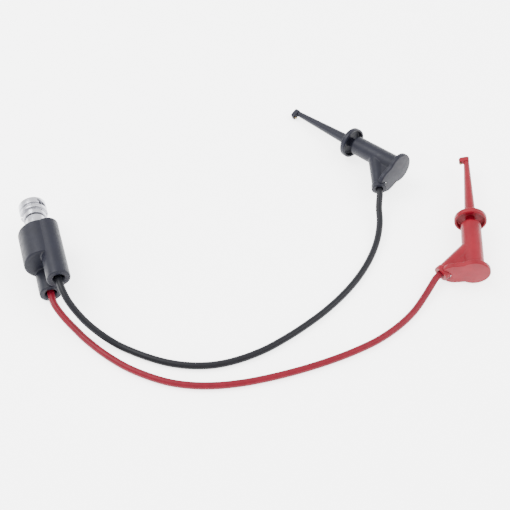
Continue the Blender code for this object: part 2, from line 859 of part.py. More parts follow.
def clip_wire_end(clip, parent):
    """The jacketed end in the boot, and the bare strands to the rod's terminal."""
    name = clip["name"]
    tail = [boot_point(7.5 * MM), boot_point(BOOT_LENGTH)]
    wire(f"{name}_clip_lead_tail", tail, WIRE_RADIUS, parent, JACKETS[name])
    bare = [boot_point(7.2 * MM), Vector((3.4, 0, 11.4)) * MM, Vector((2.2, 0, 9.6)) * MM]
    wire(f"{name}_clip_conductor", bare, 0.5 * MM, parent, COPPER)


def build_clip(clip):
    frame = empty(f"{clip['name']}_clip_frame", clip_matrix(clip))
    material = PLASTICS[clip["name"]]
    clip_sleeve(clip, frame, material)
    thumb_pad(clip, frame, material)
    clip_nose(clip, frame, material)
    contact_rod(clip, frame)
    hook_cover(clip, frame, material)
    return_spring(clip, frame)
    spring_seat(clip, frame)
    rod_terminal(clip, frame)
    clip_wire_end(clip, frame)


# ---------------------------------------------------------------- leads


def build_lead(clip, route):
    """A free lead from its tube's mouth, along the floor, straight into the clip's boot."""
    name = clip["name"]
    matrix = clip_matrix(clip)
    ends = [matrix @ boot_point(BOOT_LENGTH + STRAIGHT_RUN), matrix @ boot_point(BOOT_LENGTH + GAP)]
    points = [Vector(point) * MM for point in route] + ends
    wire(f"{name}_lead", smooth_path(points, CORD_STEP), WIRE_RADIUS, None, JACKETS[name])


build_connector()
build_clip(RED_CLIP)
build_clip(BLACK_CLIP)
build_lead(RED_CLIP, RED_ROUTE)
build_lead(BLACK_CLIP, BLACK_ROUTE)
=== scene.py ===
"""Looks of the breakout test lead: a BNC plug on a moulded housing, and two leads to mini-hook clips."""

import json
import math

import bmesh
import bpy
from mathutils import Matrix, Vector


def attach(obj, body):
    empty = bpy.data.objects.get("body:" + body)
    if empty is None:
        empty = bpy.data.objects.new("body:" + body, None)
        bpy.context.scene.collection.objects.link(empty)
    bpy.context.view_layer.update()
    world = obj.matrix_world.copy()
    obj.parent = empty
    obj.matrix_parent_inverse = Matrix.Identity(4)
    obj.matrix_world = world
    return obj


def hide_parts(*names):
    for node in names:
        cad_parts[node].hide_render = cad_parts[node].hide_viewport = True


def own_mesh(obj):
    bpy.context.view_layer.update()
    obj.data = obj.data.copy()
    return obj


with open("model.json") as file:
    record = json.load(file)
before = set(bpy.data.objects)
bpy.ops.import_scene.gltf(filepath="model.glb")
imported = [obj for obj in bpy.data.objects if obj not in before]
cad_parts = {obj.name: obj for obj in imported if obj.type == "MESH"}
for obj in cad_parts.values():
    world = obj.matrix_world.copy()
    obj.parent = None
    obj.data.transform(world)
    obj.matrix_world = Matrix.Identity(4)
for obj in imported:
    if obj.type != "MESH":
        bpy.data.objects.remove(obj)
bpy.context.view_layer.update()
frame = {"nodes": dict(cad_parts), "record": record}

MM = 0.001
SMOOTH_SEGMENTS = 96
ROOT = "test_lead"

# Housing and plug, in millimetres, in the housing's frame: Z along the plug, X right, Y down
HOUSING_PLACE = Vector((-115.60, -19.75, 13.9)) * MM
HOUSING_FRONT = 35.8
CORE_REAR = 13.7
CORE_RADIUS = 10.6
BLACK_TUBE_RADIUS = 6.0
RED_TUBE_RADIUS = 5.7
TUBE_FRONT = 35.5
BLACK_TUBE = Vector((5.0, -5.0, -2.2))
RED_TUBE = Vector((-0.6, 8.2, 0.3))
WIRE_BORE = 2.6
BORE_FRONT = 20.5
CAVITY_REAR = 16.5
CAVITY_FRONT = 25.5
CAVITY_RADIUS = 6.6
PLUG_BORE = 4.9
SLOT_WIDTH = 2.3
SLOT_TURN = math.radians(68)
SLOT_START = math.radians(120)
NUT_BORE = 5.1
WAVES = 3

# Clips, in millimetres, in the clip's frame: Z towards the hook, X towards the boot
FLANGE_RADIUS = 8.6
FLANGE_REAR = 32.8
FLANGE_BAND = 2.0
SLEEVE_FRONT = 30.3
SLEEVE_RADIUS = 5.3
SLEEVE_REAR_RADIUS = 5.6
SPRING_BORE = 4.15
WIRE_ROOM = 3.6
SEAT_STEP = 14.8
STEM_BORE = 2.9
NOSE_TIP = 77.1
NOSE_BORE = 0.8
ROD_RADIUS = 0.5
ROD_REAR = 1.8
HOOK_REACH = 3.2
HOOK_TOP = 79.5
HOOK_POINT = 76.4
COVER_BOTTOM = 77.4
COVER_TOP = 80.8
PAD_RADIUS = 8.5
PAD_THICKNESS = 2.4
LOBE_RADIUS = 6.9
LOBE_REACH = 9.8
BOOT_ROOT = 15.6
BOOT_LENGTH = 24.0
BOOT_RADIUS = 3.7
COLLAR_RADIUS = 4.2
COLLAR_LENGTH = 3.0
WEB_REACH = 9.5
WEB_HEIGHT = 7.0
WEB_HALF = 3.3
BOOT_BORE = 2.1
SPRING_REAR = 16.3
SPRING_FRONT = 24.9
SPRING_RADIUS = 2.6
SPRING_WIRE = 0.3
SPRING_TURNS = 5

# Leads
WIRE_RADIUS = 1.8
STRAIGHT_RUN = 3.5
GAP = 0.3

RED_CLIP = {"name": "red", "flange": (106.45, -41.35), "heading": 22.4, "dip": -0.5, "roll": 13.0,
            "lift": 0.83}
BLACK_CLIP = {"name": "black", "flange": (68.45, 33.80), "heading": -25.9, "dip": 8.2, "roll": 17.0,
              "lift": 0.55}
BLACK_ROUTE = [
    (-110.6, -22.2, 18.9),
    (-110.3, -27.8, 18.6),
    (-108.8, -34.5, 16.6),
    (-106.2, -39.9, 13.5),
    (-103.1, -44.5, 10.1),
    (-99.5, -48.6, 7.0),
    (-95.7, -52.5, 4.5),
    (-91.6, -56.5, 2.7),
    (-87.0, -60.9, 1.9),
    (-78.2, -68.7, 1.9),
    (-68.5, -75.5, 1.9),
    (-57.7, -80.5, 1.9),
    (-46.5, -83.2, 1.9),
    (-34.8, -83.5, 1.9),
    (-22.5, -81.9, 1.9),
    (-10.6, -78.6, 1.9),
    (1.3, -74.3, 1.9),
    (13.8, -68.8, 1.9),
    (26.0, -62.0, 1.9),
    (37.8, -53.6, 1.9),
    (48.3, -43.8, 2.1),
    (56.3, -33.8, 3.0),
    (61.8, -23.8, 4.6),
    (65.0, -14.3, 6.3),
]
RED_ROUTE = [
    (-116.2, -19.7, 5.7),
    (-115.9, -25.3, 5.6),
    (-114.0, -31.3, 4.6),
    (-111.1, -37.4, 3.2),
    (-107.9, -43.4, 2.3),
    (-104.7, -49.5, 1.9),
    (-97.9, -60.4, 1.9),
    (-89.7, -70.8, 1.9),
    (-80.8, -79.2, 1.9),
    (-71.2, -86.2, 1.9),
    (-60.7, -91.3, 1.9),
    (-49.7, -94.7, 1.9),
    (-38.3, -96.8, 1.9),
    (-27.2, -97.8, 1.9),
    (-15.1, -98.2, 1.9),
    (-3.4, -98.0, 1.9),
    (8.9, -97.2, 1.9),
    (20.8, -95.7, 1.9),
    (33.3, -93.1, 1.9),
    (45.8, -88.5, 1.9),
    (56.8, -82.5, 2.1),
    (66.3, -75.2, 3.0),
]

# Camera
LOOK_AT = Vector((-8.20, -21.35, 0.0)) * MM
CAMERA_DISTANCE = 0.516
CAMERA_ELEVATION = math.radians(50.39)
CAMERA_HEADING = math.radians(17.4)
CAMERA_LENS = 68.36


# ---------------------------------------------------------------- materials


class Nodes:
    """A short way to build a node material."""

    def __init__(self, name):
        self.material = bpy.data.materials.new(name)
        self.material.use_nodes = True
        self.tree = self.material.node_tree
        self.shader = self.tree.nodes["Principled BSDF"]
        self.place = self.add("ShaderNodeTexCoord").outputs["Object"]

    def add(self, kind, **settings):
        node = self.tree.nodes.new(kind)
        for key, value in settings.items():
            setattr(node, key, value)
        return node

    def link(self, source, target):
        self.tree.links.new(source, target)

    def noise(self, scale, detail=2.0, stretch=None):
        """Noise with about so many grains a metre."""
        source = self.place
        if stretch:
            mapping = self.add("ShaderNodeMapping")
            mapping.inputs["Scale"].default_value = stretch
            self.link(source, mapping.inputs["Vector"])
            source = mapping.outputs["Vector"]
        node = self.add("ShaderNodeTexNoise")
        node.inputs["Scale"].default_value = scale
        node.inputs["Detail"].default_value = detail
        self.link(source, node.inputs["Vector"])
        return node.outputs["Fac"]

    def ramp(self, source, low, high, start=0.3, end=0.7):
        """Maps a value to a range of values or colours."""
        node = self.add("ShaderNodeValToRGB")
        first, last = node.color_ramp.elements
        first.position, last.position = start, end
        first.color = low if isinstance(low, tuple) else (low, low, low, 1)
        last.color = high if isinstance(high, tuple) else (high, high, high, 1)
        self.link(source, node.inputs["Fac"])
        return node.outputs["Color"]

    def bump(self, source, strength, distance, edge=0.0):
        node = self.add("ShaderNodeBump")
        node.inputs["Strength"].default_value = strength
        node.inputs["Distance"].default_value = distance
        self.link(source, node.inputs["Height"])
        if edge:
            bevel = self.add("ShaderNodeBevel", samples=6)
            bevel.inputs["Radius"].default_value = edge
            self.link(bevel.outputs["Normal"], node.inputs["Normal"])
        self.link(node.outputs["Normal"], self.shader.inputs["Normal"])


def shade(color, factor):
    return tuple(min(1.0, part * factor) for part in color) + (1.0,)


def moulded_plastic(name, color, roughness, grain=9000.0, strength=0.12, edge=0.0003):
    """Satin injection moulding: a fine spark-eroded grain, slow colour drift and finger wear."""
    made = Nodes(name)
    drift = made.noise(160.0, 3.0)
    made.link(made.ramp(drift, shade(color, 0.88), shade(color, 1.12)), made.shader.inputs["Base Color"])
    wear = made.noise(420.0, 5.0)
    made.link(made.ramp(wear, roughness - 0.06, roughness + 0.08), made.shader.inputs["Roughness"])
    made.bump(made.noise(grain, 2.0), strength, 0.00004, edge)
    made.shader.inputs["Specular IOR Level"].default_value = 0.16
    return made.material


def lead_jacket(name, color, roughness):
    """Soft extruded jacket: faint ripples along it, and a dusty sheen."""
    made = Nodes(name)
    drift = made.noise(300.0, 4.0)
    made.link(made.ramp(drift, shade(color, 0.86), shade(color, 1.1)), made.shader.inputs["Base Color"])
    wear = made.noise(900.0, 4.0)
    made.link(made.ramp(wear, roughness - 0.05, roughness + 0.07), made.shader.inputs["Roughness"])
    made.bump(made.noise(2500.0, 3.0), 0.15, 0.00004)
    made.shader.inputs["Specular IOR Level"].default_value = 0.16
    return made.material


def turned_metal(name, color, roughness, rings=True):
    """Plated, lathe-turned metal: fine rings round the plug's axis, and small tarnish patches."""
    made = Nodes(name)
    tarnish = made.noise(500.0, 4.0)
    made.link(made.ramp(tarnish, shade(color, 0.86), shade(color, 1.06)), made.shader.inputs["Base Color"])
    wear = made.noise(1500.0, 4.0)
    made.link(made.ramp(wear, roughness - 0.05, roughness + 0.08), made.shader.inputs["Roughness"])
    stretch = (1.0, 40.0, 1.0) if rings else (6.0, 6.0, 6.0)
    made.bump(made.noise(260.0, 3.0, stretch), 0.05, 0.00004, 0.00015)
    made.shader.inputs["Metallic"].default_value = 1.0
    return made.material


def waxy_plastic(name, color, roughness):
    """Insulators and seals: even, slightly translucent, faintly mottled."""
    made = Nodes(name)
    mottle = made.noise(700.0, 3.0)
    made.link(made.ramp(mottle, shade(color, 0.92), shade(color, 1.04)), made.shader.inputs["Base Color"])
    wear = made.noise(1800.0, 3.0)
    made.link(made.ramp(wear, roughness - 0.05, roughness + 0.05), made.shader.inputs["Roughness"])
    made.bump(made.noise(5000.0, 2.0), 0.1, 0.00003)
    made.shader.inputs["Subsurface Weight"].default_value = 0.1
    made.shader.inputs["Subsurface Scale"].default_value = 0.001
    return made.material


MATERIALS = {
    "black_plastic": moulded_plastic("black_plastic_looks", (0.0068, 0.0073, 0.013), 0.42),
    "red_plastic": moulded_plastic("red_plastic_looks", (0.145, 0.0032, 0.0095), 0.4),
    "black_lead_jacket": lead_jacket("black_jacket_looks", (0.004, 0.0042, 0.0065), 0.42),
    "red_lead_jacket": lead_jacket("red_jacket_looks", (0.115, 0.0015, 0.009), 0.42),
    "nickel_plate": turned_metal("nickel_looks", (0.4, 0.4, 0.43), 0.24),
    "gold_plate": turned_metal("gold_looks", (0.2, 0.14, 0.06), 0.25, rings=False),
    "spring_steel": turned_metal("spring_looks", (0.26, 0.26, 0.28), 0.3, rings=False),
    "tinned_copper": turned_metal("tinned_looks", (0.35, 0.29, 0.25), 0.36, rings=False),
    "white_ptfe": waxy_plastic("ptfe_looks", (0.4, 0.4, 0.39), 0.4),
    "grey_silicone": waxy_plastic("silicone_looks", (0.1, 0.1, 0.11), 0.55),
    "shrink_sleeve": moulded_plastic("shrink_looks", (0.006, 0.006, 0.006), 0.5),
}
SLOT_OF = {entry["node"]: entry["material_slot"] for entry in frame["record"]["subparts"]}


# ---------------------------------------------------------------- building


def new_object(name, data):
    obj = bpy.data.objects.new(name, data)
    bpy.context.scene.collection.objects.link(obj)
    return obj


def mesh_object(name, bm):
    mesh = bpy.data.meshes.new(name)
    bm.to_mesh(mesh)
    bm.free()
    return new_object(name, mesh)


def rounded(profile, steps=5):
    """Profile points (radius, height, fillet) as a line whose corners are arcs."""
    line = []
    for i, corner in enumerate(profile):
        point = Vector(corner[:2])
        fillet = corner[2] if len(corner) > 2 else 0.0
        if not fillet or i in (0, len(profile) - 1):
            line.append(point)
            continue
        back = Vector(profile[i - 1][:2]) - point
        ahead = Vector(profile[i + 1][:2]) - point
        half = back.angle(ahead) / 2
        reach = min(fillet / math.tan(half), back.length * 0.49, ahead.length * 0.49)
        start = point + back.normalized() * reach
        end = point + ahead.normalized() * reach
        for k in range(steps + 1):
            t = k / steps
            line.append((1 - t) ** 2 * start + 2 * t * (1 - t) * point + t**2 * end)
    return line


def turned(name, profile, segments=SMOOTH_SEGMENTS, ring=False):
    """A turned shape from a millimetre profile, down its outer side, as a plain mesh."""
    if ring:
        middle = [(profile[-1][k] + profile[0][k]) / 2 for k in range(2)]
        line = rounded([middle, *profile, middle])[:-1]
    else:
        line = rounded(profile)
    bm = bmesh.new()
    rows = []
    for radius, height in line:
        if radius < 1e-6:
            rows.append([bm.verts.new((0, 0, height * MM))])
            continue
        row = []
        for i in range(segments):
            angle = 2 * math.pi * i / segments
            point = Vector((radius * math.cos(angle), radius * math.sin(angle), height))
            row.append(bm.verts.new(point * MM))
        rows.append(row)
    pairs = list(zip(rows, rows[1:]))
    if ring:
        pairs.append((rows[-1], rows[0]))
    for upper, lower in pairs:
        for i in range(segments):
            j = (i + 1) % segments
            above = [upper[i % len(upper)], upper[j % len(upper)]]
            below = [lower[i % len(lower)], lower[j % len(lower)]]
            corners = [above[0], below[0], below[1], above[1]]
            unique = list(dict.fromkeys(corners))
            if len(unique) > 2:
                bm.faces.new(unique)
    return mesh_object(name, bm)


def moved(obj, place):
    obj.data.transform(Matrix.Translation(Vector(place) * MM))
    return obj


def cone_between(name, start, end, start_radius, end_radius, segments=64):
    """A round bar between two points, in millimetres."""
    axis = end - start
    bm = bmesh.new()
    bmesh.ops.create_cone(
        bm,
        cap_ends=True,
        segments=segments,
        radius1=start_radius * MM,
        radius2=end_radius * MM,
        depth=axis.length * MM,
    )
    turn = axis.to_track_quat("Z", "Y").to_matrix().to_4x4()
    bmesh.ops.transform(bm, matrix=Matrix.Translation((start + end) / 2 * MM) @ turn, verts=bm.verts)
    return mesh_object(name, bm)


def block(name, low, high):
    bm = bmesh.new()
    bmesh.ops.create_cube(bm, size=1.0)
    size = Vector(high) - Vector(low)
    for vert in bm.verts:
        vert.co = (Vector(low) + Vector((vert.co[i] + 0.5) * size[i] for i in range(3))) * MM
    return mesh_object(name, bm)


def applied(obj):
    """The object with its modifiers baked into its mesh."""
    bpy.context.view_layer.update()
    mesh = bpy.data.meshes.new_from_object(obj.evaluated_get(bpy.context.evaluated_depsgraph_get()))
    obj.modifiers.clear()
    obj.data = mesh
    return obj


def boolean(obj, other, operation="DIFFERENCE"):
    modifier = obj.modifiers.new("cut", "BOOLEAN")
    modifier.operation = operation
    modifier.solver = "EXACT"
    modifier.object = other
    applied(obj)
    bpy.data.objects.remove(other)
    return obj


def blended(obj, voxel, rounds):
    """Remakes a joined body in fine even faces and softens its inner corners, as a mould's fillets do."""
    remesh = obj.modifiers.new("remesh", "REMESH")
    remesh.mode = "VOXEL"
    remesh.voxel_size = voxel * MM
    soften = obj.modifiers.new("soften", "SMOOTH")
    soften.factor = 0.5
    soften.iterations = rounds
    return applied(obj)


def swept(name, path, radius, sides=20, closed=False):
    """A round wire of that radius along the millimetre path, as a mesh."""
    bm = bmesh.new()
    rings = []
    normal = None
    for i, point in enumerate(path):
        if closed:
            tangent = path[(i + 1) % len(path)] - path[i - 1]
        else:
            tangent = path[min(i + 1, len(path) - 1)] - path[max(i - 1, 0)]
        tangent.normalize()
        if normal is None:
            normal = tangent.orthogonal().normalized()
        normal = (normal - tangent * normal.dot(tangent)).normalized()
        side = tangent.cross(normal)
        ring = []
        for k in range(sides):
            angle = 2 * math.pi * k / sides
            offset = (normal * math.cos(angle) + side * math.sin(angle)) * radius
            ring.append(bm.verts.new((point + offset) * MM))
        rings.append(ring)
    for here, there in zip(rings, rings[1:]):
        for k in range(sides):
            bm.faces.new((here[k], here[(k + 1) % sides], there[(k + 1) % sides], there[k]))
    bm.faces.new(list(reversed(rings[0])))
    bm.faces.new(rings[-1])
    return mesh_object(name, bm)


def fine_path(points, step):
    """A smooth curve through the points, with a point about every step."""
    route = [2 * points[0] - points[1], *points, 2 * points[-1] - points[-2]]
    path = [points[0]]
    for before, start, end, after in zip(route, route[1:], route[2:], route[3:]):
        pieces = max(1, round((end - start).length / step))
        for i in range(1, pieces + 1):
            t = i / pieces
            path.append(
                0.5
                * (
                    2 * start
                    + (end - before) * t
                    + (2 * before - 5 * start + 4 * end - after) * t**2
                    + (3 * start - before - 3 * end + after) * t**3
                )
            )
    return path


def finished(obj, matrix, body, *nodes, sharp=35):
    """Puts a piece in the row frame, gives it its material, and lets it stand for its CAD nodes."""
    obj.data.transform(matrix)
    obj.data.materials.clear()
    obj.data.materials.append(MATERIALS[SLOT_OF[nodes[0]]])
    obj.data.shade_smooth()
    obj.data.set_sharp_from_angle(angle=math.radians(sharp))
    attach(obj, body)
    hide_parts(*nodes)
    return obj


# ---------------------------------------------------------------- housing and plug

CONNECTOR = Matrix.Translation(HOUSING_PLACE) @ Matrix.Rotation(math.radians(-90), 4, "X")


def housing_tube(name, place, radius):
    high = TUBE_FRONT - place.z
    profile = [(0, high), (radius, high, 0.9), (radius, 0, 0.6), (0, 0)]
    return moved(turned(name, profile), place)


def connector_housing():
    """The moulded core round the plug's shank, blended into a tube for each lead."""
    profile = [
        (0, HOUSING_FRONT),
        (CORE_RADIUS, HOUSING_FRONT, 1.3),
        (CORE_RADIUS, CORE_REAR, 1.0),
        (0, CORE_REAR),
    ]
    body = turned("connector_housing_looks", profile, 128)
    boolean(body, housing_tube("black_tube", BLACK_TUBE, BLACK_TUBE_RADIUS), "UNION")
    boolean(body, housing_tube("red_tube", RED_TUBE, RED_TUBE_RADIUS), "UNION")
    hollows = (
        ("plug_bore", PLUG_BORE, CAVITY_REAR + 3, HOUSING_FRONT + 1),
        ("cavity", CAVITY_RADIUS, CAVITY_REAR, CAVITY_FRONT),
    )
    for name, radius, low, high in hollows:
        boolean(body, turned(name, [(0, high), (radius, high), (radius, low), (0, low)], 64))
    for name, place in (("black_bore", BLACK_TUBE), ("red_bore", RED_TUBE)):
        length = BORE_FRONT - place.z
        mouth = [(0, length), (WIRE_BORE, length), (WIRE_BORE, 1.3, 1.0), (WIRE_BORE + 1.1, -0.4), (0, -0.4)]
        boolean(body, moved(turned(name, mouth, 64), place))
    blended(body, 0.26, 7)
    return finished(body, CONNECTOR, ROOT, "connector_housing", sharp=70)


def bnc_body():
    """Shank, barrel, neck and slit outer contact."""
    profile = [
        (4.05, 54.6, 0.35),
        (4.05, 49.2, 0.1),
        (4.2, 49.0),
        (4.2, 48.9),
        (3.85, 48.9),
        (3.85, 47.9),
        (4.2, 47.9),
        (4.2, 45.0),
        (5.35, 45.0, 0.35),
        (5.35, 36.1, 0.2),
        (4.6, 36.1),
        (4.6, 26.5),
        (2.4, 26.5),
        (2.4, 44.0),
        (3.3, 44.0),
        (3.3, 54.6, 0.15),
    ]
    body = turned("bnc_body_looks", profile, ring=True)
    for i in range(2):
        slit = block(f"slit_{i}", (-6, -0.2, 50.9), (6, 0.2, 56))
        slit.data.transform(Matrix.Rotation(math.radians(45 + 90 * i), 4, "Z"))
        boolean(body, slit)
    return finished(body, CONNECTOR, ROOT, "bnc_body")


def swept_slot(name, stations, inner, outer, half_width):
    """A slot cutter of rectangular section through (angle, height) stations round the Z axis."""
    bm = bmesh.new()
    rings = []
    for angle, height in stations:
        out = Vector((math.cos(angle), math.sin(angle), 0))
        low, high = height - half_width, height + half_width
        corners = ((inner, low), (outer, low), (outer, high), (inner, high))
        rings.append([bm.verts.new((out * radius + Vector((0, 0, z))) * MM) for radius, z in corners])
    for here, there in zip(rings, rings[1:]):
        for k in range(4):
            bm.faces.new((here[k], here[(k + 1) % 4], there[(k + 1) % 4], there[k]))
    bm.faces.new(list(reversed(rings[0])))
    bm.faces.new(rings[-1])
    bmesh.ops.recalc_face_normals(bm, faces=bm.faces)
    return mesh_object(name, bm)


def coupling_nut():
    """The bayonet nut, with its grip groove and two ramp slots."""
    profile = [
        (7.25, 55.6, 0.45),
        (7.25, 51.9, 0.25),
        (6.45, 51.7, 0.1),
        (6.45, 50.6, 0.1),
        (7.25, 50.4, 0.25),
        (7.25, 48.4, 0.4),
        (6.1, 48.4, 0.15),
        (6.1, 45.3, 0.35),
        (4.5, 45.3),
        (4.5, 46.5),
        (5.1, 46.5),
        (5.1, 55.3),
        (5.4, 55.6, 0.1),
    ]
    nut = turned("bnc_coupling_nut_looks", profile, 128, ring=True)
    entry_half = math.asin(SLOT_WIDTH / 2 / NUT_BORE)
    for side in range(2):
        start = math.pi * side + SLOT_START
        entry = [(start + entry_half * k / 4, 54.2) for k in range(-4, 5)]
        ramp = [(start + SLOT_TURN * k / 16, 53.2 - 4.0 * k / 16) for k in range(17)]
        boolean(nut, swept_slot(f"entry_{side}", entry, 4.6, 6.1, 2.2))
        boolean(nut, swept_slot(f"ramp_{side}", ramp, 4.6, 8.0, SLOT_WIDTH / 2))
    return finished(nut, CONNECTOR, "coupling_nut", "bnc_coupling_nut")


def plug_inside():
    """The dielectric, centre pin, rear insulator and gasket that show in the plug's mouth."""
    dielectric = [
        (2.3, 52.4, 0.2),
        (2.3, 49.7, 0.1),
        (3.1, 49.5),
        (3.1, 44.3),
        (0.95, 44.3),
        (0.95, 52.4, 0.1),
    ]
    finished(turned("bnc_dielectric_looks", dielectric, 64, True), CONNECTOR, ROOT, "bnc_dielectric")
    pin = [
        (0, 53.9),
        (0.4, 53.8, 0.15),
        (0.66, 52.9, 0.3),
        (0.66, 43.9),
        (1.2, 43.6, 0.1),
        (1.2, 31.0, 0.1),
        (0.85, 31.0),
        (0.85, 35.0),
        (0, 35.2),
    ]
    finished(turned("bnc_centre_pin_looks", pin, 48), CONNECTOR, ROOT, "bnc_centre_pin")
    gasket = [(4.9, 50.5, 0.3), (4.9, 49.3, 0.3), (4.25, 49.3, 0.1), (4.25, 50.5, 0.1)]
    finished(turned("bnc_gasket_looks", gasket, 64, True), CONNECTOR, ROOT, "bnc_gasket")
    insulator = [(2.2, 43.3, 0.1), (2.2, 33.5, 0.1), (1.4, 33.5), (1.4, 43.3)]
    finished(turned("bnc_rear_insulator_looks", insulator, 48, True), CONNECTOR, ROOT, "bnc_rear_insulator")


def wave_washer():
    """The wavy ring, drawn in its free shape; the real one flattens as the nut is pulled forward."""
    bm = bmesh.new()
    steps = 120
    rings = []
    for i in range(steps):
        angle = 2 * math.pi * i / steps
        rise = 47.3 + 0.35 * math.sin(WAVES * angle)
        corners = ((4.4, rise - 0.12), (4.9, rise - 0.12), (4.9, rise + 0.12), (4.4, rise + 0.12))
        out = Vector((math.cos(angle), math.sin(angle), 0))
        rings.append([bm.verts.new((out * radius + Vector((0, 0, z))) * MM) for radius, z in corners])
    for i in range(steps):
        here, there = rings[i], rings[(i + 1) % steps]
        for k in range(4):
            bm.faces.new((here[k], here[(k + 1) % 4], there[(k + 1) % 4], there[k]))
    bmesh.ops.recalc_face_normals(bm, faces=bm.faces)
    washer = finished(mesh_object("bnc_wave_washer_looks", bm), CONNECTOR, ROOT, "bnc_wave_washer")
    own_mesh(washer)


# ---------------------------------------------------------------- clips


def clip_matrix(clip):
    """The clip's frame: flange just above the floor, dipped towards the hook, rolled to the boot's side."""
    heading, dip, roll = (math.radians(clip[key]) for key in ("heading", "dip", "roll"))
    forward = Vector((math.sin(heading) * math.cos(dip), math.cos(heading) * math.cos(dip), -math.sin(dip)))
    left = Vector((-math.cos(heading), math.sin(heading), 0))
    up = forward.cross(left)
    branch = math.cos(roll) * left - math.sin(roll) * up
    across = forward.cross(branch)
    x, y = clip["flange"]
    height = FLANGE_RADIUS * math.cos(dip) + FLANGE_BAND * max(0.0, math.sin(dip)) + clip["lift"]
    origin = Vector((x, y, height)) * MM - forward * FLANGE_REAR * MM
    return Matrix.Translation(origin) @ Matrix((branch, across, forward)).transposed().to_4x4()


def boot_point(distance):
    """A point on the boot's axis, which leaves the sleeve at 45 degrees."""
    step = distance / math.sqrt(2)
    return Vector((step, 0, BOOT_ROOT - step))


def clip_sleeve(clip, matrix):
    """The barrel the fingers hold, blended into the lead's boot."""
    name = clip["name"]
    profile = [
        (0, SLEEVE_FRONT),
        (SLEEVE_RADIUS, SLEEVE_FRONT, 0.6),
        (SLEEVE_REAR_RADIUS, 0.5, 0.4),
        (0, 0.5),
    ]
    sleeve = turned(f"{name}_clip_sleeve_looks", profile)
    collar_start, boot_end = boot_point(BOOT_LENGTH - COLLAR_LENGTH), boot_point(BOOT_LENGTH)
    boot = cone_between("boot", boot_point(0), boot_point(BOOT_LENGTH - 0.5), 4.6, BOOT_RADIUS)
    boolean(sleeve, boot, "UNION")
    boolean(sleeve, cone_between("collar", collar_start, boot_end, COLLAR_RADIUS, COLLAR_RADIUS), "UNION")
    boolean(sleeve, block("web", (2, -WEB_HALF, 0.5), (WEB_REACH, WEB_HALF, WEB_HEIGHT)), "UNION")
    inside = [
        (0, SLEEVE_FRONT + 1),
        (STEM_BORE, SLEEVE_FRONT + 1),
        (STEM_BORE, 28.8),
        (SPRING_BORE, 28.8),
        (SPRING_BORE, SEAT_STEP),
        (WIRE_ROOM, SEAT_STEP),
        (WIRE_ROOM, -1),
        (0, -1),
    ]
    boolean(sleeve, turned("bore", inside, 64))
    way = cone_between("way", boot_point(2.5), boot_point(BOOT_LENGTH + 2), BOOT_BORE, BOOT_BORE, 48)
    boolean(sleeve, way)
    blended(sleeve, 0.2, 8)
    return finished(sleeve, matrix, ROOT, f"{name}_clip_sleeve", sharp=70)


def keyhole(inset, height, steps=40):
    """The pad's outline at one height: a large disc, a neck and a small lobe, moved in by the inset."""
    large, small = PAD_RADIUS - inset, LOBE_RADIUS - inset
    join = math.asin(small / large)
    ring = []
    for i in range(steps + 1):
        angle = join + (2 * math.pi - 2 * join) * i / steps
        ring.append(Vector((large * math.cos(angle), large * math.sin(angle), height)))
    for i in range(steps + 1):
        angle = -math.pi / 2 + math.pi * i / steps
        ring.append(Vector((LOBE_REACH + small * math.cos(angle), small * math.sin(angle), height)))
    return ring


def thumb_pad(clip, matrix):
    """A keyhole plate with rolled edges, a spigot into the sleeve, and a notch where the boot passes."""
    name = clip["name"]
    layers = []
    for k in range(7):
        angle = math.pi / 2 * k / 6
        layers.append((0.7 * (1 - math.sin(angle)), -PAD_THICKNESS + 0.7 * (1 - math.cos(angle))))
    for k in range(5):
        angle = math.pi / 2 * k / 4
        layers.append((0.3 * (1 - math.cos(angle)), -0.3 + 0.3 * math.sin(angle)))
    bm = bmesh.new()
    rings = [[bm.verts.new(point * MM) for point in keyhole(*layer)] for layer in layers]
    for here, there in zip(rings, rings[1:]):
        for k in range(len(here)):
            j = (k + 1) % len(here)
            bm.faces.new((here[k], here[j], there[j], there[k]))
    bm.faces.new(list(reversed(rings[0])))
    bm.faces.new(rings[-1])
    bmesh.ops.recalc_face_normals(bm, faces=bm.faces)
    pad = mesh_object(f"{name}_thumb_pad_looks", bm)
    spigot = [(0, 4.2), (WIRE_ROOM - GAP, 4.2, 0.3), (WIRE_ROOM - GAP, -1), (0, -1)]
    boolean(pad, turned("spigot", spigot, 64), "UNION")
    clear = COLLAR_RADIUS + GAP
    low, high = boot_point(BOOT_LENGTH - 12), boot_point(BOOT_LENGTH + 12)
    notch = cone_between("notch", low, high, clear, clear, 64)
    boolean(pad, notch)
    boolean(pad, turned("socket", [(0, 5), (0.8, 5), (0.8, 1.5), (0, 1.5)], 32))
    return finished(pad, matrix, ROOT, f"{name}_thumb_pad")


def clip_nose(clip, matrix):
    """The tapered nose with its cup flange, and the shouldered stem inside the sleeve."""
    name = clip["name"]
    rim = FLANGE_REAR
    profile = [
        (1.55, NOSE_TIP, 0.3),
        (3.0, rim + 4.2, 0.8),
        (3.6, rim + 3.7, 0.8),
        (7.2, rim + 3.55, 0.8),
        (FLANGE_RADIUS, rim + 2.6, 0.7),
        (FLANGE_RADIUS, rim, 0.3),
        (FLANGE_RADIUS - 1.1, rim, 0.2),
        (FLANGE_RADIUS - 1.3, rim + 2.7, 0.8),
        (2.6, rim + 2.8, 0.3),
        (2.6, 28.3),
        (3.85, 28.3),
        (3.85, 25.2),
        (NOSE_BORE, 25.2),
        (NOSE_BORE, NOSE_TIP),
    ]
    nose = turned(f"{name}_clip_nose_looks", profile, ring=True)
    return finished(nose, matrix, f"{name}_nose", f"{name}_clip_nose")


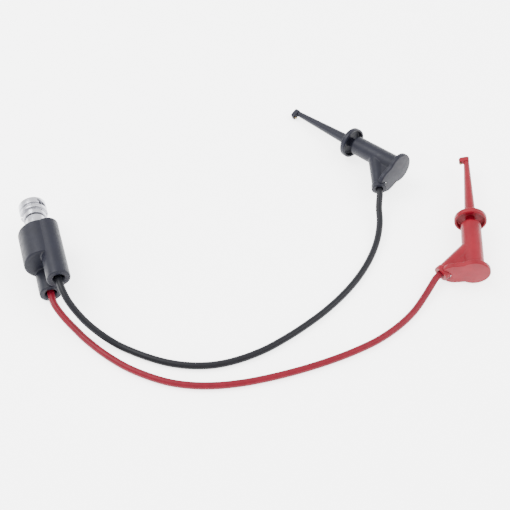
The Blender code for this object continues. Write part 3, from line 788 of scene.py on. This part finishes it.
def hook_path():
    """The contact rod's line, with its end turned out and back."""
    corner = 0.7
    path = [Vector((0, 0, ROD_REAR)), Vector((0, 0, HOOK_TOP - corner))]
    for k in range(1, 9):
        angle = math.pi / 2 * k / 8
        path.append(Vector((corner * (1 - math.cos(angle)), 0, HOOK_TOP - corner + corner * math.sin(angle))))
    centre = Vector((HOOK_REACH - corner, 0, HOOK_TOP - corner))
    for k in range(9):
        angle = math.pi / 2 * k / 8
        path.append(centre + corner * Vector((math.sin(angle), 0, math.cos(angle))))
    path.append(Vector((HOOK_REACH, 0, HOOK_POINT)))
    return path


def hook_end(clip, matrix):
    """The bent rod and the moulded block over its bend."""
    name = clip["name"]
    rod = swept(f"{name}_contact_rod_looks", hook_path(), ROD_RADIUS, 24)
    finished(rod, matrix, ROOT, f"{name}_contact_rod")
    reach = HOOK_REACH
    outline = [
        (-1.55, COVER_BOTTOM),
        (reach + 0.9, COVER_BOTTOM + 0.3),
        (reach + 0.9, COVER_TOP - 1.2),
        (reach + 0.2, COVER_TOP - 0.3),
        (0.8, COVER_TOP),
        (-1.1, COVER_TOP),
        (-1.55, COVER_TOP - 0.5),
    ]
    bm = bmesh.new()
    near = [bm.verts.new((x * MM, -1.5 * MM, z * MM)) for x, z in outline]
    grown = bmesh.ops.extrude_face_region(bm, geom=[bm.faces.new(near)])
    shifted = [item for item in grown["geom"] if isinstance(item, bmesh.types.BMVert)]
    bmesh.ops.translate(bm, verts=shifted, vec=(0, 3.0 * MM, 0))
    bmesh.ops.recalc_face_normals(bm, faces=bm.faces)
    cover = mesh_object(f"{name}_hook_cover_looks", bm)
    edges = cover.modifiers.new("edges", "BEVEL")
    edges.width = 0.4 * MM
    edges.segments = 4
    edges.limit_method = "ANGLE"
    applied(cover)
    way = [Vector((0, 0, HOOK_TOP - 6)), *hook_path()[1:]]
    way[-1] = Vector((HOOK_REACH, 0, HOOK_POINT - 1))
    boolean(cover, swept("way", way, ROD_RADIUS + 0.12, 24))
    finished(cover, matrix, ROOT, f"{name}_hook_cover")


def return_spring(clip, matrix):
    """The coil inside the sleeve, drawn at its rest length; the real one shortens as the flange is pulled
    back.
    """
    name = clip["name"]
    steps = 28 * SPRING_TURNS
    length = SPRING_FRONT - SPRING_REAR - 2 * SPRING_WIRE
    path = []
    for i in range(steps + 1):
        angle = 2 * math.pi * i / 28
        height = SPRING_REAR + SPRING_WIRE + length * i / steps
        path.append(Vector((SPRING_RADIUS * math.cos(angle), SPRING_RADIUS * math.sin(angle), height)))
    spring = swept(f"{name}_return_spring_looks", path, SPRING_WIRE, 10)
    finished(spring, matrix, ROOT, f"{name}_return_spring")
    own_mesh(spring)


# ---------------------------------------------------------------- leads


def free_lead(clip, route, matrix):
    """The free lead from its tube's mouth, along the floor, into the clip's boot."""
    name = clip["name"]
    ends = []
    for distance in (BOOT_LENGTH + STRAIGHT_RUN, BOOT_LENGTH + GAP):
        ends.append(matrix @ (boot_point(distance) * MM) / MM)
    points = [Vector(point) for point in route] + ends
    path = fine_path(points, 2.0)
    curve = bpy.data.curves.new(f"{name}_lead_looks", "CURVE")
    curve.dimensions = "3D"
    curve.bevel_depth = WIRE_RADIUS * MM
    curve.bevel_resolution = 8
    curve.use_fill_caps = True
    spline = curve.splines.new("POLY")
    spline.points.add(len(path) - 1)
    spline.use_smooth = True
    for target, point in zip(spline.points, path):
        target.co = (*(point * MM), 1.0)
    lead = new_object(f"{name}_lead_looks", curve)
    curve.materials.append(MATERIALS[f"{name}_lead_jacket"])
    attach(lead, ROOT)
    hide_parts(f"{name}_lead")


connector_housing()
bnc_body()
coupling_nut()
plug_inside()
wave_washer()
for clip, route in ((RED_CLIP, RED_ROUTE), (BLACK_CLIP, BLACK_ROUTE)):
    placed = clip_matrix(clip)
    clip_sleeve(clip, placed)
    thumb_pad(clip, placed)
    clip_nose(clip, placed)
    hook_end(clip, placed)
    return_spring(clip, placed)
    free_lead(clip, route, placed)

for node, obj in frame["nodes"].items():
    if not obj.hide_render:
        for index in range(max(1, len(obj.material_slots))):
            if obj.material_slots:
                obj.material_slots[index].material = MATERIALS[SLOT_OF[node]]
            else:
                obj.data.materials.append(MATERIALS[SLOT_OF[node]])


# ---------------------------------------------------------------- studio


def area_light(name, place, target, size, power):
    data = bpy.data.lights.new(name, "AREA")
    data.shape = "DISK"
    data.size = size
    data.energy = power
    light = new_object(name, data)
    light.location = place
    light.rotation_euler = (Vector(target) - Vector(place)).to_track_quat("-Z", "Y").to_euler()


def studio():
    """A plain white floor, a pale surround and two soft lights."""
    bm = bmesh.new()
    bmesh.ops.create_grid(bm, x_segments=2, y_segments=2, size=4.0)
    floor = mesh_object("studio_floor", bm)
    made = Nodes("studio_white")
    mottle = made.noise(30.0, 2.0)
    made.link(made.ramp(mottle, 0.9, 0.92), made.shader.inputs["Base Color"])
    made.shader.inputs["Roughness"].default_value = 0.9
    made.shader.inputs["Specular IOR Level"].default_value = 0.1
    made.shader.inputs["Emission Color"].default_value = (1.0, 1.0, 1.0, 1.0)
    made.shader.inputs["Emission Strength"].default_value = 2.8
    floor.data.materials.append(made.material)
    world = bpy.data.worlds.new("studio_surround")
    world.use_nodes = True
    world.node_tree.nodes["Background"].inputs["Color"].default_value = (1.0, 1.0, 1.0, 1.0)
    world.node_tree.nodes["Background"].inputs["Strength"].default_value = 2.6
    bpy.context.scene.world = world
    area_light("key_light", (-0.5, 0.35, 0.9), (0, 0, 0), 0.7, 14.0)
    area_light("fill_light", (0.7, -0.2, 0.8), (0, 0, 0), 0.8, 8.0)


def camera():
    ground = math.cos(CAMERA_ELEVATION)
    forward = Vector(
        (ground * math.sin(CAMERA_HEADING), ground * math.cos(CAMERA_HEADING), -math.sin(CAMERA_ELEVATION))
    )
    data = bpy.data.cameras.new("photo_camera")
    data.lens = CAMERA_LENS
    data.sensor_width = 36.0
    data.clip_start = 0.01
    data.clip_end = 20.0
    obj = new_object("photo_camera", data)
    obj.location = LOOK_AT - forward * CAMERA_DISTANCE
    obj.rotation_euler = forward.to_track_quat("-Z", "Y").to_euler()
    bpy.context.scene.camera = obj


studio()
camera()
bpy.context.view_layer.update()
